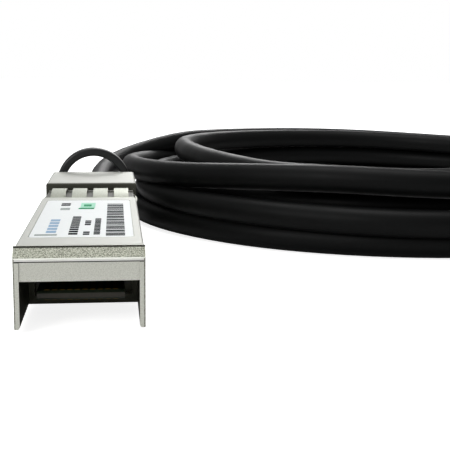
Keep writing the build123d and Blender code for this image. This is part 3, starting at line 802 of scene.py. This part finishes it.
def bar_code(x0, x1, y0, y1):
    """Bars of one or three modules, with gaps of one or two, in an order that repeats only slowly."""
    bars = []
    y = y0
    i = 0
    while y < y1 - 3 * BAR_MODULE:
        width = BAR_MODULE * (1 + (i * i + i) % 3)
        bars.append((x0, x1, y, y + width))
        y += width + BAR_MODULE * (1 + (i * 7 % 5) // 3)
        i += 1
    return bars


# Fields of each colour: low x, high x, low y, high y in millimetres from the plug's mating face
PRINT = {
    "black": bar_code(2.6, 4.7, 6.6, 31.4)
    + dashes(-1.5, -0.5, 7.4, 20.4, 9)
    + dashes(0.1, 0.8, 7.2, 9.6, 2)
    + dashes(0.1, 0.8, 13.6, 17.2, 3)
    + dashes(1.25, 1.95, 7.4, 18.6, 12)
    + dashes(-3.5, -2.3, 29.2, 31.8, 2),
    "grey": dashes(-3.4, -2.2, 25.4, 27.4, 2) + [(-5.1, -2.7, 6.9, 7.8)],
    "blue": dashes(-4.0, -2.9, 8.6, 18.4, 5),
    "mint": [(-0.9, 1.0, 27.2, 31.6)],
    "green": [(-1.1, 0.9, 26.1, 26.9)] + dashes(-0.5, 0.5, 28.4, 30.2, 2),
}
for colour, fields in PRINT.items():
    print(colour, "fields:", len(fields))

# %% [markdown]
# ## Printing both labels
# Each field starts as a plane at its size and place. The planes of one colour are joined, their place is
# applied to the mesh, and a Solidify modifier gives them their thickness, downwards to the film.

# %% Printed plates
INK_THICKNESS = 0.02


def print_fields(end, colour, fields):
    """One mesh of thin plates on a plug's label."""
    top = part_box(f"{end}_label")[1][2] / MM
    # Green is printed over mint
    height = INK_THICKNESS * (2 if colour == "green" else 1)
    shift_x, shift_y, _ = ENDS[end]
    bpy.ops.object.select_all(action="DESELECT")
    plates = []
    for x0, x1, y0, y1 in fields:
        bpy.ops.mesh.primitive_plane_add(size=1.0)
        plate = bpy.context.object
        plate.scale = ((x1 - x0) * MM, (y1 - y0) * MM, 1.0)
        middle = ((x0 + x1) / 2 + shift_x, (y0 + y1) / 2 + shift_y, top + height)
        plate.location = Vector(middle) * MM
        plates.append(plate)
    for plate in plates:
        plate.select_set(True)
    bpy.context.view_layer.objects.active = plates[0]
    bpy.ops.object.join()
    print_piece = bpy.context.object
    print_piece.name = f"{end}_{colour}_print"
    bpy.ops.object.transform_apply(location=True, rotation=True, scale=True)
    thickness = print_piece.modifiers.new("thickness", "SOLIDIFY")
    thickness.thickness = INK_THICKNESS * MM
    thickness.offset = -1.0
    bpy.ops.object.modifier_apply(modifier="thickness")
    print_piece.data.materials.append(INKS[colour])
    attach(print_piece, "cable_and_plugs")
    print_piece.select_set(False)
    print(print_piece.name, "faces:", len(print_piece.data.polygons))


for end in ENDS:
    for colour, fields in PRINT.items():
        print_fields(end, colour, fields)

# %% [markdown]
# ## Floor
# The object lies on white paper. In a picture for a catalogue the paper is the same clean white as the
# background, which needs more light than the plug can bear. So the paper glows by itself, but to the
# camera only: to the plug and the cable it is plain pale paper, and it still takes a faint shadow.

# %% Floor
FLOOR_LEVEL = -0.5
FLOOR_WIDTH = 8.0
PAPER_GLOW = 0.84

bpy.ops.object.select_all(action="DESELECT")
bpy.ops.mesh.primitive_plane_add(size=FLOOR_WIDTH, location=(0.0, 0.0, FLOOR_LEVEL * MM))
floor = bpy.context.object
floor.name = "floor"
paper, tree, surface = new_material("white_paper", roughness=0.9, specular_ior_level=0.0)
surface.inputs["Base Color"].default_value = hex_colour("e6e6e6")
surface.inputs["Emission Color"].default_value = (1.0, 1.0, 1.0, 1.0)
ray = add_node(tree, "ShaderNodeLightPath")
glow = add_node(
    tree,
    "ShaderNodeMath",
    {0: ray.outputs["Is Camera Ray"], 1: PAPER_GLOW},
    operation="MULTIPLY",
)
tree.links.new(glow.outputs[0], surface.inputs["Emission Strength"])
floor.data.materials.append(paper)
print("floor:", FLOOR_WIDTH, "m wide, at a height of", FLOOR_LEVEL, "mm")

# %% [markdown]
# ## Room
# The room is white to the camera. To the object it is dim all round, because in black plastic the mirrored
# light is all that shows, and a bright room would turn it grey. Only straight behind the object, low over
# the table, is it brighter: that patch draws the soft line along the top of each turn.

# %% Room
BEHIND_CAMERA = 0.34
BEHIND_OBJECT = 0.26
PATCH_WAY = (0.08, 0.965, 0.25)
PATCH_GAIN = 0.6

world = bpy.data.worlds.new("studio")
world.use_nodes = True
bpy.context.scene.world = world
tree = world.node_tree
background = tree.nodes["Background"]
background.inputs["Color"].default_value = (1.0, 1.0, 1.0, 1.0)
way = add_node(tree, "ShaderNodeTexCoord")
way_parts = add_node(tree, "ShaderNodeSeparateXYZ", {"Vector": way.outputs["Generated"]})
dim_room = add_node(
    tree,
    "ShaderNodeMapRange",
    {
        "Value": way_parts.outputs["Y"],
        "From Min": -0.6,
        "From Max": 0.9,
        "To Min": BEHIND_CAMERA,
        "To Max": BEHIND_OBJECT,
    },
)
towards_patch = add_node(
    tree,
    "ShaderNodeVectorMath",
    {0: way.outputs["Generated"], 1: PATCH_WAY},
    operation="DOT_PRODUCT",
)
patch = add_node(
    tree,
    "ShaderNodeMapRange",
    {
        "Value": towards_patch.outputs["Value"],
        "From Min": 0.9,
        "From Max": 0.985,
        "To Min": 0.0,
        "To Max": PATCH_GAIN,
    },
)
room = add_node(tree, "ShaderNodeMath", {0: dim_room.outputs[0], 1: patch.outputs[0]}, operation="ADD")
ray = add_node(tree, "ShaderNodeLightPath")
strength = add_node(
    tree,
    "ShaderNodeMix",
    {0: ray.outputs["Is Camera Ray"], 2: room.outputs[0], 3: 1.0},
    data_type="FLOAT",
)
tree.links.new(strength.outputs[0], background.inputs["Strength"])
print("room nodes:", len(tree.nodes), "and brightest level:", BEHIND_OBJECT + PATCH_GAIN)

# %% [markdown]
# ## Soft boxes
# Three soft boxes give the light its direction: a large one overhead, one in front on the left, which
# models the nose and the cheeks, and a small one behind, which lights the label and the backs of the turns.
# A wide lamp gives soft shadows, so all of them are wider than the object is.

# %% Soft boxes


def soft_box(name, place, aim, width, power):
    """A square area lamp at a place in metres, turned towards a point."""
    bpy.ops.object.light_add(type="AREA", location=place)
    lamp = bpy.context.object
    lamp.name = name
    lamp.data.size = width
    lamp.data.energy = power
    lamp.rotation_euler = (Vector(aim) - Vector(place)).to_track_quat("-Z", "Y").to_euler()
    print(name, "soft box:", width, "m wide,", power, "W")


soft_box("overhead", (0.0, 0.15, 0.7), (0.03, 0.06, 0.0), 0.5, 2.6)
soft_box("front_left", (-0.5, -0.5, 0.4), (0.03, 0.03, 0.0), 0.35, 2.0)
soft_box("behind", (0.1, 0.72, 0.32), (0.03, 0.12, 0.0), 0.22, 1.15)

# %% [markdown]
# ## Close the scene
# The scene is brought up to date once more, so that every piece stands in its final place.

# %% Finish
bpy.context.view_layer.update()
